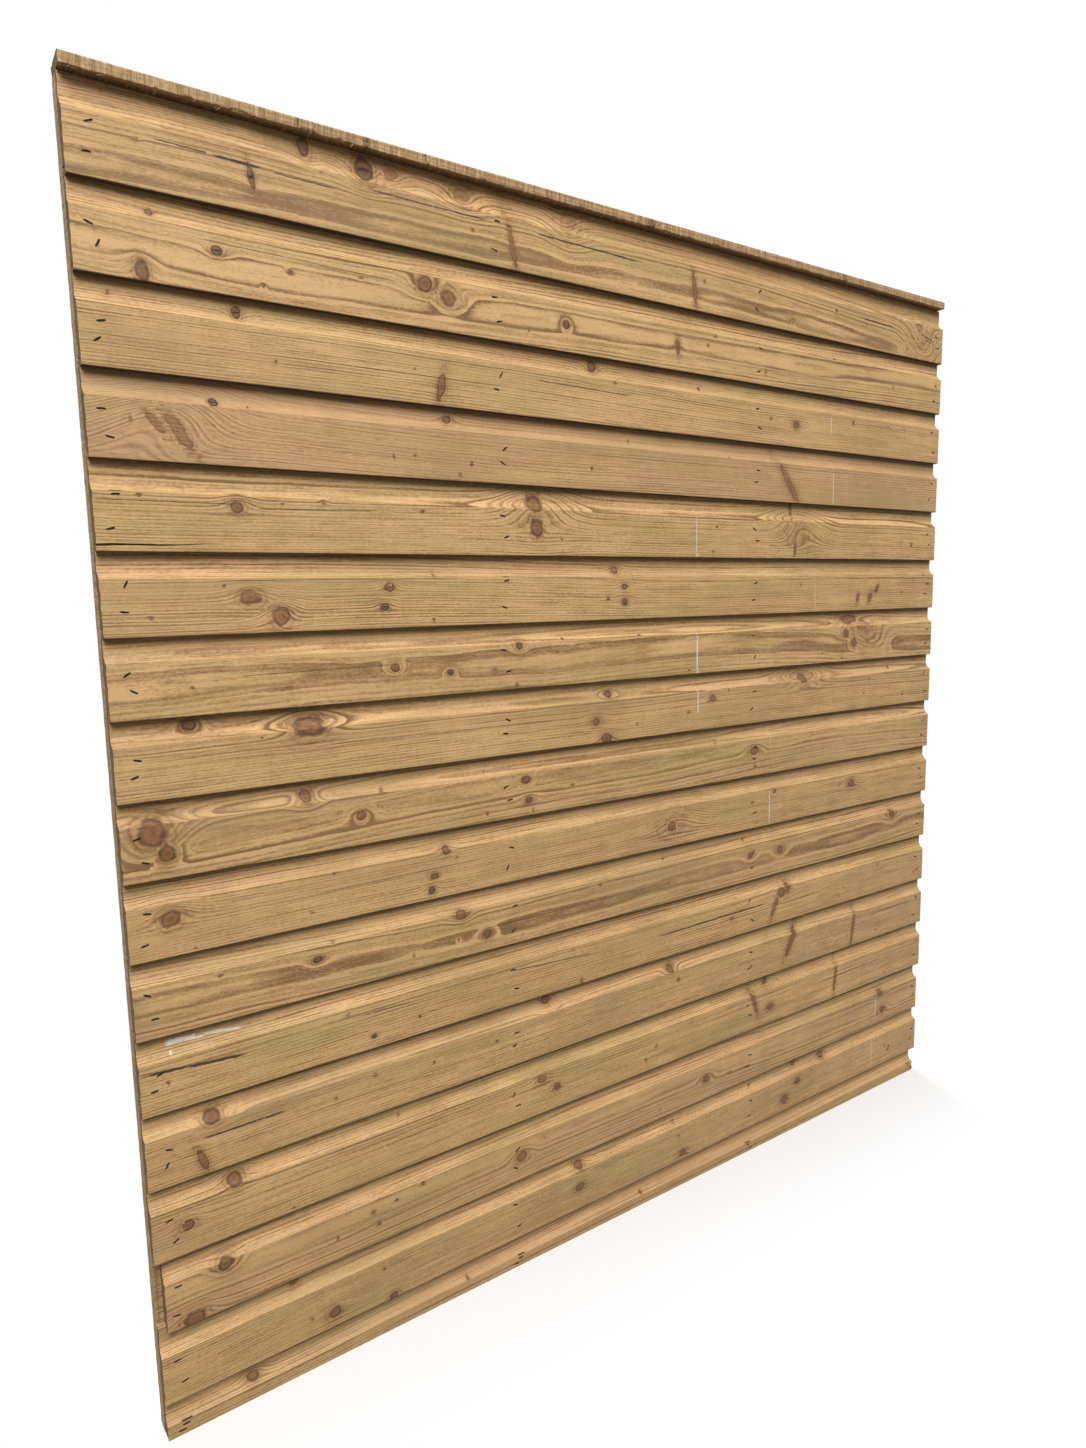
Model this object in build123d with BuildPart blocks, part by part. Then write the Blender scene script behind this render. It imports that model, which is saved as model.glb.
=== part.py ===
from build123d import *
import os
from math import cos, radians, sin

# Weatherboard fence panel: horizontal rebated boards stapled to four uprights, under a capping rail.
# X runs along the boards, the weather face looks towards -Y and Z is up.
# The origin is the middle of the panel's footprint, on the ground.

# Panel
panel_width = 1830.0
board_thickness = 20.0
upright_depth = 25.0
cap_overhang = 6.0
panel_depth = cap_overhang + board_thickness + upright_depth

# Weatherboard section, measured up from the board's lower edge and back from its face
board_width = 120.0
board_cover = 112.0
face_height = 77.0
scoop_height = 13.0
scoop_recess = 11.0
scoop_radius = 20.0
rebate_height = 11.0
lip_thickness = 10.4
drip_round = 3.0
tongue_round = 1.5

# Boards, numbered from the top
full_boards = 16
bottom_board = full_boards + 1
bottom_board_drop = 56.0
bottom_arris_height = bottom_board_drop + face_height - board_cover

# How far each board's left end has slipped down as it was nailed
left_slip = {5: 5.0, 6: 5.0, 7: 2.5, 8: 1.5}
# How far short each board was cut, at its left end and at its right end
cut_short = {15: (11.0, 7.0), 16: (0.0, 5.0), 17: (1.0, 12.0)}

# Uprights behind the boards
upright_width = 50.0
batten_spacing = 600.0
stile_x = (panel_width - upright_width) / 2
upright_x = {
    "left_stile": -stile_x,
    "left_batten": -batten_spacing / 2,
    "right_batten": batten_spacing / 2,
    "right_stile": stile_x,
}

# Capping rail
cap_thickness = 15.0
cap_short_right = 6.0
cap_edge_wear = 1.5

# Wire staples that fix the boards and the cap
crown_width = 10.5
wire_width = 1.6
wire_thickness = 1.2
leg_length = 38.0
staple_sink = 1.2
board_staple_heights = (29.0, 61.0)
bottom_staple_heights = (7.5, 15.5)
# The scatter of a hand-held staple gun: side step, rise and turn of each shot in order
side_steps = (0.0, 5.0, -4.0, 2.0, -6.0, 3.0, 7.0)
rises = (0.0, 4.0, -5.0, 7.0, -2.0)
turns = (4.0, 22.0, -12.0, 0.0, -28.0, 35.0, 10.0, -6.0, 62.0, -18.0, 14.0)

# Where the planes of the panel lie
cap_front_y = -panel_depth / 2
face_y = cap_front_y + cap_overhang
board_back_y = face_y + board_thickness
upright_mid_y = board_back_y + upright_depth / 2
scoop_top = face_height + scoop_height
top_board_z = bottom_board_drop + (full_boards - 1) * board_cover
frame_height = top_board_z + board_width


def board_base(number):
    """Height of a board's lower edge."""
    if number == bottom_board:
        return 0.0
    return bottom_board_drop + (full_boards - number) * board_cover


def board_ends(number):
    """Left and right end of a board along X."""
    short_left, short_right = cut_short.get(number, (0.0, 0.0))
    return -panel_width / 2 + short_left, panel_width / 2 - short_right


def shot_plane(x, y, z, turn, into):
    """Plane of one staple: its X lies along the crown and its Y along the legs, into the wood."""
    if into.Y > 0:
        crown = Vector(cos(radians(turn)), 0, sin(radians(turn)))
    else:
        crown = Vector(cos(radians(turn)), sin(radians(turn)), 0)
    return Plane(origin=(x, y, z), x_dir=crown, z_dir=crown.cross(into))


def staple_outline(top):
    """Outline of a staple, or of the slot it leaves when its top lies outside the wood."""
    half = crown_width / 2
    inner = half - wire_width
    with BuildLine() as outline:
        Polyline(
            (-half, top), (half, top), (half, leg_length), (inner, leg_length), (inner, wire_width),
            (-inner, wire_width), (-inner, leg_length), (-half, leg_length), (-half, top),
        )
    return outline.line


# The staple shots through the face, listed by board and by upright
shots_by_board = {number: [] for number in range(1, bottom_board + 1)}
shots_by_upright = {name: [] for name in upright_x}
shot = 0
for number in shots_by_board:
    heights = bottom_staple_heights if number == bottom_board else board_staple_heights
    reach = 0.0 if number == bottom_board else 1.0
    for name, centre in upright_x.items():
        for height in heights:
            x = centre + side_steps[shot % len(side_steps)]
            z = board_base(number) + height + reach * rises[shot % len(rises)]
            turn = reach * turns[shot % len(turns)]
            plane = shot_plane(x, face_y + staple_sink, z, turn, Vector(0, 1, 0))
            shots_by_board[number].append(plane)
            shots_by_upright[name].append(plane)
            shot += 1

# The shots down through the cap, two into the end grain of each upright
cap_shots = {
    name: [
        shot_plane(centre + step, upright_mid_y, frame_height + cap_thickness - staple_sink,
                   turn, Vector(0, 0, -1))
        for step, turn in ((-14.0, 20.0), (13.0, -15.0))
    ]
    for name, centre in upright_x.items()
}

staple_groups = {f"{name}_staples": planes for name, planes in shots_by_upright.items()}
staple_groups["capping_rail_staples"] = [plane for planes in cap_shots.values() for plane in planes]

os.makedirs("parts", exist_ok=True)

# Weatherboards: a rebate under the back laps over the tongue of the board below
for number in range(1, bottom_board + 1):
    ripped = number == bottom_board
    left_end, right_end = board_ends(number)
    slip = left_slip.get(number, 0.0)
    lean = slip * board_width / panel_width
    length = right_end - left_end - lean
    section_base = bottom_arris_height - face_height if ripped else 0.0
    section_plane = Plane(
        origin=(left_end + lean, face_y, board_base(number) - slip),
        x_dir=(0, 1, 0),
        z_dir=(length, 0, slip),
    )
    with BuildPart() as board:
        with BuildSketch(section_plane):
            with BuildLine():
                arris = (0, section_base + face_height)
                scoop_end = (scoop_recess, section_base + scoop_top)
                tongue_top = section_base + board_width
                RadiusArc(arris, scoop_end, -scoop_radius)
                Line(scoop_end, (scoop_recess, tongue_top - tongue_round))
                Line((scoop_recess, tongue_top - tongue_round), (scoop_recess + tongue_round, tongue_top))
                Line((scoop_recess + tongue_round, tongue_top), (board_thickness, tongue_top))
                if ripped:
                    Polyline((board_thickness, tongue_top), (board_thickness, 0), (0, 0), arris)
                else:
                    Polyline(
                        (board_thickness, tongue_top), (board_thickness, rebate_height),
                        (lip_thickness, rebate_height), (lip_thickness, 0), (drip_round, 0),
                    )
                    RadiusArc((drip_round, 0), (0, drip_round), drip_round)
                    Line((0, drip_round), arris)
            make_face()
        extrude(amount=length)
        with BuildSketch(*shots_by_board[number]):
            add(staple_outline(-2 * staple_sink))
            make_face()
        extrude(amount=wire_thickness / 2, both=True, mode=Mode.SUBTRACT)
    board.part.label = f"weatherboard_{number:02d}"
    export_step(board.part, f"parts/{board.part.label}.step")

# Uprights: sawn stiles at the ends and battens between, where both legs of a staple share one slot
for name, centre in upright_x.items():
    with BuildPart() as upright:
        with BuildSketch(Plane.XY):
            with Locations((centre, upright_mid_y)):
                Rectangle(upright_width, upright_depth)
        extrude(amount=frame_height)
        with BuildSketch(*shots_by_upright[name], *cap_shots[name]):
            Rectangle(crown_width, leg_length, align=(Align.CENTER, Align.MIN))
        extrude(amount=wire_thickness / 2, both=True, mode=Mode.SUBTRACT)
    upright.part.label = name
    export_step(upright.part, f"parts/{name}.step")

# Capping rail: a sawn lath laid flat over the uprights and the top board, proud of the face
cap_length = panel_width - cap_short_right
with BuildPart() as capping_rail:
    with BuildSketch(Plane.YZ.offset(-panel_width / 2)):
        with Locations((0, frame_height + cap_thickness / 2)):
            cap_section = Rectangle(panel_depth, cap_thickness)
        chamfer(cap_section.vertices().group_by(Axis.Y)[0], cap_edge_wear)
    extrude(amount=cap_length)
    with BuildSketch(*staple_groups["capping_rail_staples"]):
        add(staple_outline(-2 * staple_sink))
        make_face()
    extrude(amount=wire_thickness / 2, both=True, mode=Mode.SUBTRACT)
capping_rail.part.label = "capping_rail"
export_step(capping_rail.part, "parts/capping_rail.step")

# Staples: one group for each upright and one for the cap
for name, planes in staple_groups.items():
    with BuildPart() as staples:
        with BuildSketch(*planes):
            add(staple_outline(0))
            make_face()
        extrude(amount=wire_thickness / 2, both=True)
    staples.part.label = name
    export_step(staples.part, f"parts/{name}.step")
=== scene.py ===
from math import asin, ceil, cos, pi, radians, sin

import bmesh
import bpy
import numpy as np
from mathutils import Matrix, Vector


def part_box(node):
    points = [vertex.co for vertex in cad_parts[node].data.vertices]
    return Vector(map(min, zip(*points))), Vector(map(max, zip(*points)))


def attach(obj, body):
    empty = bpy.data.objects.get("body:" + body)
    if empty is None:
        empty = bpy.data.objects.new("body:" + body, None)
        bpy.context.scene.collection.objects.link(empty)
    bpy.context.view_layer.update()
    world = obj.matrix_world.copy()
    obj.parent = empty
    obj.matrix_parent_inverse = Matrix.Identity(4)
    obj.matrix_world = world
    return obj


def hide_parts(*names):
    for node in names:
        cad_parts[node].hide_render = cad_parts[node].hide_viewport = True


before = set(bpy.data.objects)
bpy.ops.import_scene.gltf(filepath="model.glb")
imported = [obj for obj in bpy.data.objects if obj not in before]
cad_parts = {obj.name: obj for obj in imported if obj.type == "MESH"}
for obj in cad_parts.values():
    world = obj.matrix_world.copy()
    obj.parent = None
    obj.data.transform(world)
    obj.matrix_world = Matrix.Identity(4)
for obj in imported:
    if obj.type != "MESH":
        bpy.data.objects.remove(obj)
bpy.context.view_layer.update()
scene = bpy.context.scene
MM = 0.001

# The camera
# It stands close in front of the panel's left end at two thirds of its height, and looks right and slightly
# down through a wide lens. It was fitted to points measured in the photograph.
focal_length_px, frame_height_px = 924.6, 1448
lens = bpy.data.cameras.new("camera")
lens.sensor_fit = "VERTICAL"
lens.sensor_height = 36.0
lens.sensor_width = 27.0
lens.lens = focal_length_px / frame_height_px * lens.sensor_height
lens.clip_start = 0.05
camera = bpy.data.objects.new("camera", lens)
camera.location = (-1.1294, -1.3299, 1.2131)
camera.rotation_euler = [radians(a) for a in (82.284, 0.997, -34.688)]
scene.collection.objects.link(camera)
scene.camera = camera

# The weatherboards
# Seventeen pine boards milled to one rebated section and pressure treated: a flat face with a crisp arris, a
# hollow scoop, a thin tongue, a rebate behind the lower edge and a rounded drip. Each laps over the one below
# and is stapled through its face; the bottom board is ripped down to end the panel level.
PANEL_LEFT, PANEL_RIGHT = -0.915, 0.915
FACE_Y = -0.0195
WIDTH, THICKNESS = 120 * MM, 20 * MM
FACE_HEIGHT, SCOOP_TOP = 77 * MM, 90 * MM
RECESS, SCOOP_RADIUS = 11 * MM, 20 * MM
REBATE, LIP, DRIP_ROUND = 11 * MM, 10.4 * MM, 1.6 * MM
COVER, BOTTOM_COVER = 112 * MM, 56 * MM
BOARD_COUNT = 17
# How far a board's left end has slipped down, and how far short a board is cut at its left and right, in mm
LEFT_SLIP = {5: 5.0, 6: 5.0, 7: 2.5, 8: 1.5}
CUT_SHORT = {15: (11.0, 7.0), 16: (0.0, 5.0), 17: (1.0, 12.0)}


class Socket:
    """An output of a shader node. Arithmetic with it adds Math nodes, and node() adds any other kind."""

    def __init__(self, tree, out=None):
        self.tree = tree
        self.out = out

    def node(self, kind, settings=None, values=None, output=0):
        made = self.tree.nodes.new(kind)
        for name, value in (settings or {}).items():
            setattr(made, name, value)
        for key, value in (values or {}).items():
            if isinstance(value, Socket):
                self.tree.links.new(value.out, made.inputs[key])
            else:
                made.inputs[key].default_value = value
        return Socket(self.tree, made.outputs[output] if made.outputs else None)

    def maths(self, operation, *others):
        values = {0: self}
        for place, other in enumerate(others, start=1):
            values[place] = other
        return self.node("ShaderNodeMath", {"operation": operation}, values)

    def __add__(self, other):
        return self.maths("ADD", other)

    __radd__ = __add__

    def __mul__(self, other):
        return self.maths("MULTIPLY", other)

    __rmul__ = __mul__

    def __sub__(self, other):
        return self.maths("SUBTRACT", other)

    def __rsub__(self, other):
        return self.node("ShaderNodeMath", {"operation": "SUBTRACT"}, {0: other, 1: self})

    def __truediv__(self, other):
        return self.maths("DIVIDE", other)

    def __neg__(self):
        return self * -1.0

    def clamped(self):
        return self.node("ShaderNodeClamp", None, {"Value": self})

    def step(self, low, high):
        """0 below low, 1 above high, smooth between; falls instead where low is the higher."""
        return self.node(
            "ShaderNodeMapRange",
            {"interpolation_type": "SMOOTHSTEP"},
            {"Value": self, "From Min": low, "From Max": high},
        )

    def blend(self, first, second, factor):
        """From the first colour to the second by a factor; a Mix node has its colours at 6 and 7, and 2."""
        return self.node("ShaderNodeMix", {"data_type": "RGBA"}, {0: factor, 6: first, 7: second}, output=2)

    def tint(self, other, factor):
        """This colour turned towards another by a factor."""
        return self.blend(self, other, factor)

    def parts(self):
        """The X, Y and Z of a vector."""
        return [self.node("ShaderNodeSeparateXYZ", None, {0: self}, output=axis) for axis in "XYZ"]

    def noise(self, scale, detail=3.0, roughness=0.55):
        """Noise around 0 that is scale times as fine along each axis."""
        sought = self.node("ShaderNodeVectorMath", {"operation": "MULTIPLY"}, {0: self, 1: scale})
        values = {"Vector": sought, "Scale": 1.0, "Detail": detail, "Roughness": roughness}
        return self.node("ShaderNodeTexNoise", None, values) - 0.5


PINK_WOOD = (0.455, 0.255, 0.135, 1)
GREEN_STAIN = (0.330, 0.270, 0.090, 1)
DARK_WOOD = (0.250, 0.140, 0.055, 1)
BRIGHT_WOOD = (0.740, 0.530, 0.300, 1)
KNOT_HEART = (0.250, 0.105, 0.037, 1)
KNOT_RING = (0.095, 0.036, 0.012, 1)
DEAD_KNOT_AND_SHADE = (0.035, 0.016, 0.008, 1)
KNOT_HALO = (0.300, 0.145, 0.050, 1)
SCUFF = (0.830, 0.800, 0.730, 1)
END_GRAIN_AND_SHADE = (0.105, 0.060, 0.028, 1)


def timber(name, early, late, ring_gap, saw_marks=0.0, fibre=1.0):
    """Softwood cut from a log: its rings, fibres, knots and streaks follow the grain marks on the mesh."""
    material = bpy.data.materials.new(name)
    material.use_nodes = True
    tree = material.node_tree
    tree.nodes.clear()
    bench = Socket(tree)

    def mark(attribute, output="Vector"):
        return bench.node("ShaderNodeAttribute", {"attribute_name": attribute}, None, output)

    log, knot, streak, tone = mark("log"), mark("knot"), mark("streak"), mark("tone")
    swell = mark("swell", "Fac")
    along, away, up = log.parts()
    knot_along, knot_across, knot_size = knot.parts()
    pinkness, end_grain_and_shade, knot_age = tone.parts()

    # The rings and fibres part round a knot and swell over it
    reach = knot_along * knot_along + knot_across * knot_across
    flow = (knot_along * knot_along * -0.16 - knot_across * knot_across * 0.30).maths("EXPONENT")
    parted = up - knot_across * swell * flow * 0.86
    straight = bench.node("ShaderNodeCombineXYZ", None, {0: along, 1: away, 2: parted})
    wander = straight.noise((2.4, 17.0, 17.0), 2.0) * 0.0070
    wander = wander + straight.noise((16.0, 90.0, 90.0), 2.0) * 0.0013
    radius = (away * away + parted * parted).maths("SQRT") + wander + flow * swell * 1.05
    rings = radius / ring_gap
    count = rings.maths("FLOOR")
    phase = rings - count
    fibres = straight.noise((11.0, 150.0, 150.0), 6.0, 0.80)
    year = bench.node("ShaderNodeTexWhiteNoise", {"noise_dimensions": "1D"}, {"W": count})
    bold = straight.noise((4.0, 20.0, 20.0), 2.0) * 1.7 + 0.62 + flow * 0.4
    latewood = phase.step(0.25, 0.92) * phase.step(1.0, 0.93) * (year * 0.8 + 0.2) * bold
    close_rings = (radius / (ring_gap * 0.73) + fibres * 0.5).maths("FRACT")
    patches = log.noise((3.0, 14.0, 14.0)) + 0.55
    close_lines = close_rings.step(0.3, 0.85) * close_rings.step(1.0, 0.85) * patches

    # The broad light and dark of the timber
    flecks = log.noise((170.0, 420.0, 420.0), 3.0)
    clouds = log.noise((3.2, 12.0, 12.0), 3.0)
    bands = log.noise((26.0, 5.0, 5.0), 3.0)
    greening = (log.noise((3.0, 19.0, 19.0), 3.0) + 0.1).step(0.0, 0.30)
    blush = log.noise((2.3, 24.0, 24.0), 2.0) * 2.4 + pinkness * 1.1 - 0.12

    grain = latewood * 1.25 + close_lines * 0.75 + fibres * 2.2 * fibre + flecks * 1.2 - 0.02
    wood = bench.blend(early, late, grain.clamped())
    wood = wood.tint(PINK_WOOD, blush.clamped() * 0.50)
    wood = wood.tint(GREEN_STAIN, greening * 0.34)
    wood = wood.tint(DARK_WOOD, (clouds * 0.70 + bands * 0.45 + 0.06).clamped())

    # Knots: a brown heart with its own rings, a dark rim and a stained halo; a negative age leaves a swirl
    distance = reach.maths("SQRT") + straight.noise((75.0, 110.0, 110.0), 3.0) * 1.25
    knot_rings = (distance * 9.0 + fibres * 2.0).maths("SINE") * 0.5 + 0.5
    heart = distance.step(1.20, 0.80)
    rim = distance.step(0.50, 1.0) * distance.step(1.35, 1.02)
    loops = (distance * 8.5 + fibres * 1.5).maths("SINE").step(0.2, 0.95) * distance.step(3.0, 1.4)
    halo = distance.step(2.7, 1.0)
    knot_wood = bench.blend(KNOT_HEART, KNOT_RING, (knot_rings * 0.45 + fibres * 0.9).clamped())
    knot_wood = knot_wood.tint(DEAD_KNOT_AND_SHADE, knot_age.clamped())
    shown = (knot_size * 900.0).clamped() * (knot_age + 1.0).clamped()
    grown_round = (knot_size * 260.0).clamped() * (knot_age + 1.4).clamped()
    wood = wood.tint(KNOT_HALO, halo * shown * (0.42 + fibres))
    wood = wood.tint(KNOT_RING, loops * grown_round * (fibres * 2.0 + 0.30).clamped())
    wood = wood.tint(knot_wood, heart * shown * (0.80 + fibres * 0.9).clamped())
    wood = wood.tint(DEAD_KNOT_AND_SHADE, rim * shown * (0.30 + knot_age * 0.8 + fibres).clamped())
    star = knot_across + fibres * 0.8
    check = (star * star).step(0.03, 0.0) * distance.step(0.8, 0.5) * knot_age.step(0.38, 0.5)
    wood = wood.tint(DEAD_KNOT_AND_SHADE, check * shown)

    # Resin streaks and fine cracks run dark along the grain; scuffs are pale
    streak_along, streak_across, streak_tone = streak.parts()
    ragged = streak_across + log.noise((60.0, 210.0, 210.0), 4.0, 0.7) * 2.0
    line = (ragged * ragged).step(1.0, 0.25) * (streak_along * streak_along).step(1.0, 0.55)
    broken = (log.noise((70.0, 240.0, 240.0), 3.0) + 0.26).step(0.0, 0.2)
    wood = wood.tint(DEAD_KNOT_AND_SHADE, line * broken * (-streak_tone).clamped())
    wood = wood.tint(SCUFF, line * broken * streak_tone.clamped() * 0.85)

    # Sawn end grain soaks up the treatment and is darker. The same channel also carries painted shade on
    # undersides, inside the staple slits and under the laps, so those are painted darker too.
    ends = end_grain_and_shade.clamped()
    wood = wood.tint(END_GRAIN_AND_SHADE, (end_grain_and_shade * (0.72 + fibres * 0.5)).clamped())
    # Above 1 the channel paints the deepest shade, near black, on undersides and inside the slits
    wood = wood.tint(DEAD_KNOT_AND_SHADE, (end_grain_and_shade * 2.4 - 2.4).clamped())
    height = latewood * 0.40 + fibres * 0.60 * fibre + flecks * 0.34
    height = height - rim * shown * 0.6 - line * 0.6 - check * 1.5
    height = height + ends * log.noise((300.0, 800.0, 800.0), 3.0) * 2.2
    if saw_marks:
        kerfs = log.noise((330.0, 28.0, 28.0), 4.0, 0.75)
        tears = (log.noise((120.0, 16.0, 16.0), 2.0) - 0.02).step(0.10, 0.22)
        marred = (kerfs + 0.06).step(0.0, 0.22) * 0.75 * saw_marks + tears * 0.5
        wood = wood.tint(DARK_WOOD, marred.clamped())
        wood = wood.tint(BRIGHT_WOOD, (-kerfs).step(0.03, 0.22) * 0.55 * saw_marks)
        height = height - kerfs * 1.8 * saw_marks - tears * 1.2
    bump = bench.node("ShaderNodeBump", None, {"Height": height, "Distance": 0.0009, "Strength": 0.9})
    rough = (0.66 + fibres * 0.16 - latewood * 0.08 + ends * 0.2).clamped()
    finish = {"Base Color": wood, "Roughness": rough, "Normal": bump, "IOR": 1.45}
    surface = bench.node("ShaderNodeBsdfPrincipled", None, finish)
    bench.node("ShaderNodeOutputMaterial", None, {"Surface": surface})
    return material


EARLY_WOOD, LATE_WOOD = (0.680, 0.426, 0.190, 1), (0.200, 0.097, 0.031, 1)
board_wood = timber("treated_softwood", EARLY_WOOD, LATE_WOOD, 4.4 * MM)


def turned(points, x, z, tilt):
    """How far points lie along and across a mark at x and z that is tilted by so many degrees."""
    angle = np.radians(tilt)
    aside = points[:, 0] - x
    above = points[:, 2] - z
    return aside * np.cos(angle) + above * np.sin(angle), above * np.cos(angle) - aside * np.sin(angle)


def mark_grain(mesh, knots, streaks, pith, pinkness, seed, lap=np.inf, slits=(), rim=-np.inf):
    """Stores on each face corner where it lies in the log, and where in the nearest knot and streak.
    Knots and streaks are x, height, half length, half height, tilt in degrees, and age or tone. Above the
    height lap the timber is painted darker, as shade under the next board's lip. Inside the slits it is
    painted darkest, as shade, and undersides are painted darker as shade from the depth rim inwards."""
    draw = np.random.default_rng(seed)
    count = len(mesh.loops)
    corner = np.zeros(count, np.int32)
    mesh.loops.foreach_get("vertex_index", corner)
    place = np.zeros(len(mesh.vertices) * 3)
    mesh.vertices.foreach_get("co", place)
    place = place.reshape(-1, 3)[corner]
    faces = len(mesh.polygons)
    totals = np.zeros(faces, np.int32)
    mesh.polygons.foreach_get("loop_total", totals)
    centre = np.zeros(faces * 3)
    mesh.polygons.foreach_get("center", centre)
    centre = centre.reshape(-1, 3)
    normal = np.zeros(faces * 3)
    mesh.polygons.foreach_get("normal", normal)
    normal = normal.reshape(-1, 3)
    face = np.repeat(np.arange(faces), totals)

    pith_y, pith_z, meander = pith
    shift = draw.uniform(0, 60)
    swing = draw.uniform(0, 2 * pi)
    bend = meander * np.sin(place[:, 0] * 2.3 + swing)
    bend += 0.4 * meander * np.sin(place[:, 0] * 5.9 + 2 * swing)
    log = np.column_stack((place[:, 0] + shift, place[:, 1] - pith_y, place[:, 2] - pith_z + bend))

    def nearest(marks, spread):
        """For each face the mark that acts on it most, and each corner's place in that mark."""
        found = np.full((count, 3), 50.0)
        extra = np.zeros(count)
        if not marks:
            found[:, 2] = 0.0
            return found, extra, extra
        best = np.full(faces, -1.0)
        chosen = np.zeros(faces, np.int32)
        for index, (x, z, half_long, half_high, tilt, age) in enumerate(marks):
            along, across = turned(centre, x, z, tilt)
            reach = (along / half_long) ** 2 * spread[0] + (across / half_high) ** 2 * spread[1]
            inside = np.clip(2.4 - (along / half_long) ** 2 - (across / half_high) ** 2, 0.0, 1.0)
            inside *= 10 * MM / half_high if age > -0.2 else 0.0
            strength = np.exp(-np.minimum(reach, 600.0)) * half_high - reach * 1e-9 + inside
            best_here = strength > best
            chosen[best_here] = index
            best[best_here] = strength[best_here]
        owner = chosen[face]
        table = np.array(marks, float)[owner]
        along, across = turned(place, table[:, 0], table[:, 1], table[:, 4])
        found[:, 0] = along / table[:, 2]
        found[:, 1] = across / table[:, 3]
        found[:, 2] = table[:, 3]
        shorter, longer = np.minimum(table[:, 2], table[:, 3]), np.maximum(table[:, 2], table[:, 3])
        return found, table[:, 5], shorter * np.clip(1.5 * shorter / longer - 0.25, 0.1, 1.0)

    knot, age, swell = nearest(knots, (0.16, 0.30))
    streak, streak_tone, _ = nearest(streaks, (0.4, 0.02))
    streak[:, 2] = streak_tone
    # Undersides are painted darker as shade, less towards the front at the depth rim; faces turned along X
    # are real end grain
    underside_shade = np.clip(-normal[:, 2] * 2.0 - 0.7, 0.0, 1.3)
    underside_shade *= np.clip((centre[:, 1] - rim) / (11 * MM), 0.1, 1.0)
    end_grain_and_painted_shade = np.where(np.abs(normal[:, 0]) > 0.7, 1.0, underside_shade)
    sunk = (centre[:, 1] > FACE_Y + 0.3 * MM) & (centre[:, 1] < FACE_Y + 3 * MM)
    near = 7 * MM
    # Inside the staple slits the wood is painted near black, as shade in the recess
    for x, z, _ in slits:
        end_grain_and_painted_shade[sunk & (np.abs(centre[:, 0] - x) < near) & (np.abs(centre[:, 2] - z) < near)] = 1.3
    # Painted shade on the top of the tongue, under the next board's lip
    lap_shade = np.clip((place[:, 2] - lap) / (18 * MM), 0.0, 1.0) * 0.40
    tone = np.column_stack((np.full(count, pinkness), np.maximum(end_grain_and_painted_shade[face], lap_shade), age))
    for name, values in (("log", log), ("knot", knot), ("streak", streak), ("tone", tone)):
        layer = mesh.attributes.new(name, "FLOAT_VECTOR", "CORNER")
        layer.data.foreach_set("vector", values.astype(np.float32).ravel())
    layer = mesh.attributes.new("swell", "FLOAT", "CORNER")
    layer.data.foreach_set("value", swell.astype(np.float32))


def board_section(ripped):
    """The milled section as y and z from the face and the lower edge, round from the arris down the face."""
    base = -BOTTOM_COVER if ripped else 0.0
    arris, top, scoop_top = FACE_HEIGHT + base, WIDTH + base, SCOOP_TOP + base
    if ripped:
        outline = [(0.0, z) for z in np.linspace(arris, 0.0, 5)]
        outline += [(y, 0.0) for y in (6 * MM, 13 * MM, THICKNESS)]
    else:
        outline = [(0.0, z) for z in np.linspace(arris, DRIP_ROUND, 13)]
        for a in np.linspace(0.4, pi / 2, 3):
            outline.append((DRIP_ROUND * (1 - cos(a)), DRIP_ROUND * (1 - sin(a))))
        outline += [(6 * MM, 0.0), (LIP, 0.0), (LIP, REBATE / 2), (LIP, REBATE)]
        outline += [(15 * MM, REBATE), (THICKNESS, REBATE)]
    back_foot = outline[-1][1]
    outline += [(THICKNESS, z) for z in np.linspace(back_foot, top, 9)[1:]]
    outline += [(16 * MM, top), (12.5 * MM, top)]
    outline += [(RECESS, z) for z in np.linspace(top - 1.5 * MM, scoop_top, 6)]
    centre_y, centre_z = -8.32 * MM, 95.17 * MM + base
    first = asin((scoop_top - centre_z) / SCOOP_RADIUS)
    last = asin((arris - centre_z) / SCOOP_RADIUS)
    for a in np.linspace(first, last, 8)[1:-1]:
        outline.append((centre_y + SCOOP_RADIUS * cos(a), centre_z + SCOOP_RADIUS * sin(a)))
    return outline


def geometry_tree(name, inputs):
    """An empty Geometry Nodes tree with its named inputs, and its two end nodes."""
    tree = bpy.data.node_groups.new(name, "GeometryNodeTree")
    tree.interface.new_socket("Geometry", in_out="INPUT", socket_type="NodeSocketGeometry")
    for label, kind in inputs:
        tree.interface.new_socket(label, in_out="INPUT", socket_type=kind)
    tree.interface.new_socket("Geometry", in_out="OUTPUT", socket_type="NodeSocketGeometry")
    return tree, Socket(tree), tree.nodes.new("NodeGroupInput"), tree.nodes.new("NodeGroupOutput")


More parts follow.
